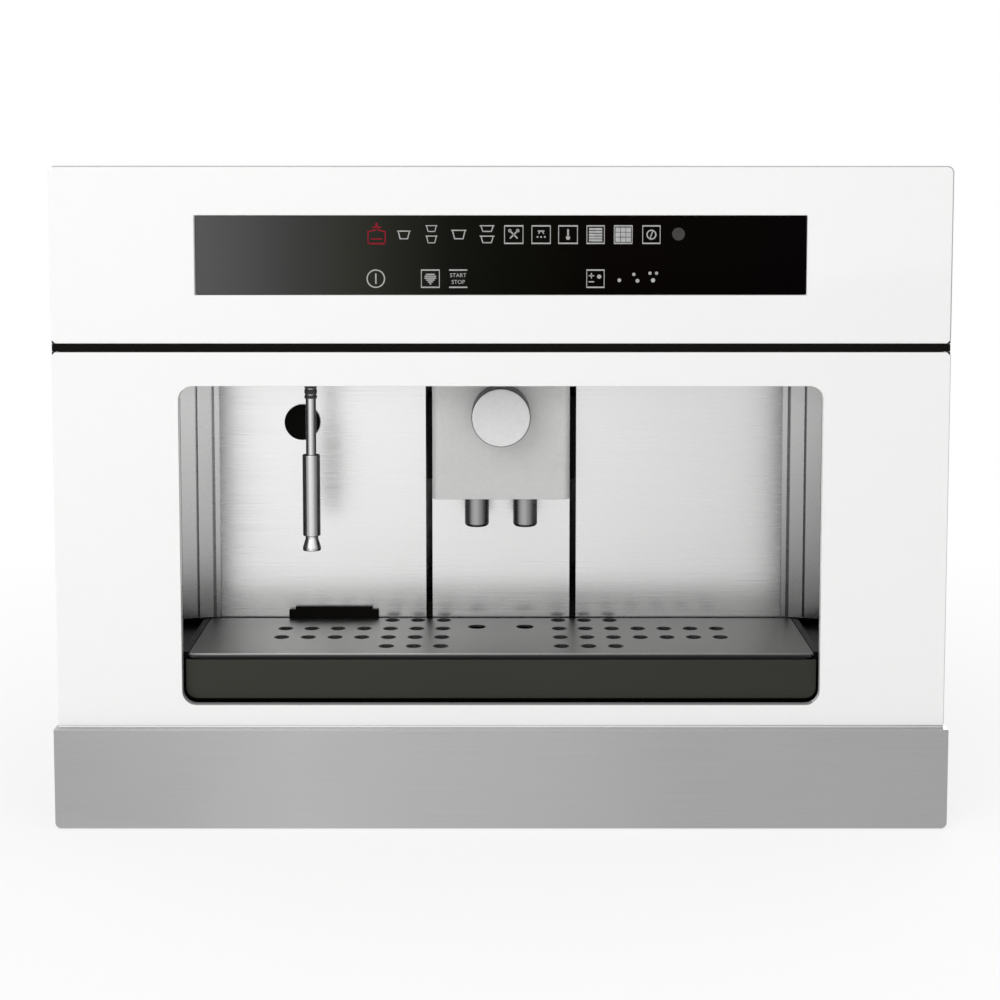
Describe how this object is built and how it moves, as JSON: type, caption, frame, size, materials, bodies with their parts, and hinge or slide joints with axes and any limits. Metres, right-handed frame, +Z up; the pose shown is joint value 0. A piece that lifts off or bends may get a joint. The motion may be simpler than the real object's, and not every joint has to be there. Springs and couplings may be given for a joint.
{
  "type": "built-in coffee machine",
  "caption": "Built-in coffee machine with white glass front, lit display, dispenser with knob, steam wand, drip tray and steel strip, on pull-out cabinet rails.",
  "frame": {"origin": "bottom centre of the machine and its rails, pushed home", "axes": "+X to the viewer's right across the front, -Y out of the front, +Z up"},
  "size_m": [0.5966, 0.4, 0.4428],
  "materials": {
    "white_glass": "gloss",
    "display_glass": "gloss",
    "strip_steel": "brushed",
    "wall_steel": "brushed",
    "grid_steel": "brushed",
    "tray_steel": "brushed",
    "head_enamel": "satin",
    "knob_silver": "satin",
    "polished_steel": "gloss",
    "frame_black": "satin",
    "carrier_black": "matte",
    "part_black": "matte",
    "tray_black": "satin",
    "shell_zinc": "satin",
    "rail_zinc": "satin",
    "tank_clear": "gloss",
    "hopper_smoke": "gloss",
    "works_grey": "matte",
    "works_metal": "satin",
    "burr_ceramic": "matte",
    "board_green": "satin",
    "pipe_teflon": "satin",
    "screw_steel": "satin"
  },
  "bodies": {
    "cabinet_rails": {"guide_outer_left": "rail_zinc", "guide_outer_right": "rail_zinc", "guide_tie_bar": "rail_zinc"},
    "machine": {"back_panel_center": "wall_steel", "back_panel_left": "wall_steel", "back_panel_right": "wall_steel", "bean_hopper": "hopper_smoke", "boiler": "works_metal", "brew_frame": "works_grey", "brew_motor": "works_metal", "cavity_liner": "frame_black", "chassis_base": "shell_zinc", "control_board": "board_green", "display_panel": "display_glass", "door_catch": "part_black", "door_hinges": "part_black", "drain_outlet": "part_black", "fascia_carrier": "carrier_black", "fascia_glass": "white_glass", "front_frame": "frame_black", "grinder_housing": "works_grey", "guide_inner_rails": "rail_zinc", "head_tracks": "polished_steel", "left_side_panel": "shell_zinc", "mains_inlet": "part_black", "panel_screws": "screw_steel", "port_plug": "part_black", "power_board": "board_green", "pump": "works_grey", "rear_cover": "shell_zinc", "right_side_panel": "shell_zinc", "tank_cradle": "works_grey", "top_cover": "shell_zinc", "tray_rails": "part_black", "trim_strip": "strip_steel", "wand_socket": "part_black", "water_pipes": "pipe_teflon"},
    "middle_rails": {"guide_middle_rails": "rail_zinc"},
    "front_door": {"door_glass": "white_glass", "door_carrier": "carrier_black"},
    "tray": {"drip_tray": "tray_black", "tray_front": "tray_steel", "grounds_bin": "tray_black"},
    "grid": {"drip_grid": "grid_steel"},
    "dispenser": {"head_cover": "head_enamel", "head_carriage": "part_black", "spouts": "polished_steel"},
    "knob": {"flow_knob": "knob_silver"},
    "wand_swivel": {"wand_collar": "polished_steel"},
    "wand": {"steam_wand": "polished_steel", "frother_sleeve": "polished_steel"},
    "bean_lid": {"hopper_lid": "hopper_smoke"},
    "grinder_dial": {"grind_dial": "part_black"},
    "burr": {"lower_burr": "burr_ceramic"},
    "spindle": {"brew_spindle": "polished_steel"},
    "piston": {"brew_piston": "works_grey"},
    "tank": {"water_tank": "tank_clear"},
    "tank_cap": {"tank_lid": "tank_clear"},
    "side_door": {"service_door": "shell_zinc"},
    "rocker": {"power_switch": "part_black"}
  },
  "joints": [
    {"name": "machine_slide", "type": "slide", "parent": "cabinet_rails", "child": "machine", "axis": [0, -1, 0], "range_m": [0, 0.33]},
    {"name": "middle_rail_slide", "type": "slide", "parent": "cabinet_rails", "child": "middle_rails", "axis": [0, -1, 0], "range_m": [0, 0.166]},
    {"name": "door_swing", "type": "hinge", "parent": "machine", "child": "front_door", "pos_m": [-0.2916, -0.1828, 0.07], "axis": [0, 0, -1], "range_deg": [0, 100]},
    {"name": "tray_slide", "type": "slide", "parent": "machine", "child": "tray", "axis": [0, -1, 0], "range_m": [0, 0.3]},
    {"name": "grid_lift", "type": "slide", "parent": "tray", "child": "grid", "axis": [0, 0, 1], "range_m": [0, 0.04]},
    {"name": "head_slide", "type": "slide", "parent": "machine", "child": "dispenser", "axis": [0, 0, 1], "range_m": [-0.045, 0]},
    {"name": "knob_turn", "type": "hinge", "parent": "dispenser", "child": "knob", "pos_m": [0, -0.125, 0.2716], "axis": [0, -1, 0], "range_deg": [-120, 120]},
    {"name": "wand_swivel_turn", "type": "hinge", "parent": "machine", "child": "wand_swivel", "pos_m": [-0.1295, -0.153, 0.304], "axis": [0, 0, 1], "range_deg": [-60, 60]},
    {"name": "wand_tilt", "type": "hinge", "parent": "wand_swivel", "child": "wand", "pos_m": [-0.1295, -0.153, 0.304], "axis": [-1, 0, 0], "range_deg": [0, 20]},
    {"name": "bean_lid_swing", "type": "hinge", "parent": "machine", "child": "bean_lid", "pos_m": [0.06, 0.1255, 0.441], "axis": [-1, 0, 0], "range_deg": [0, 95]},
    {"name": "dial_turn", "type": "hinge", "parent": "machine", "child": "grinder_dial", "pos_m": [0.155, 0.0699, 0.4392], "axis": [0, 0, 1], "range_deg": [-60, 60]},
    {"name": "burr_spin", "type": "hinge", "parent": "machine", "child": "burr", "pos_m": [0.06, 0.0699, 0.318], "axis": [0, 0, 1], "continuous": true},
    {"name": "spindle_turn", "type": "hinge", "parent": "machine", "child": "spindle", "pos_m": [0.175, 0.0959, 0.1166], "axis": [0, 0, 1], "range_deg": [0, 720]},
    {"name": "piston_slide", "type": "slide", "parent": "machine", "child": "piston", "axis": [0, 0, 1], "range_m": [-0.04, 0]},
    {"name": "tank_lift", "type": "slide", "parent": "machine", "child": "tank", "axis": [0, 0, 1], "range_m": [0, 0.205]},
    {"name": "tank_cap_swing", "type": "hinge", "parent": "tank", "child": "tank_cap", "pos_m": [-0.205, 0.1685, 0.4412], "axis": [-1, 0, 0], "range_deg": [0, 95]},
    {"name": "side_door_swing", "type": "hinge", "parent": "machine", "child": "side_door", "pos_m": [0.2663, 0.1369, 0.235], "axis": [0, 0, 1], "range_deg": [0, 110]},
    {"name": "rocker_tip", "type": "hinge", "parent": "machine", "child": "rocker", "pos_m": [0.154, 0.192, 0.075], "axis": [1, 0, 0], "range_deg": [-8, 8]}
  ],
  "couplings": [
    {"joint": "middle_rail_slide", "follows": "machine_slide", "ratio": 0.5},
    {"joint": "spindle_turn", "follows": "piston_slide", "rad_per_m": -314}
  ]
}
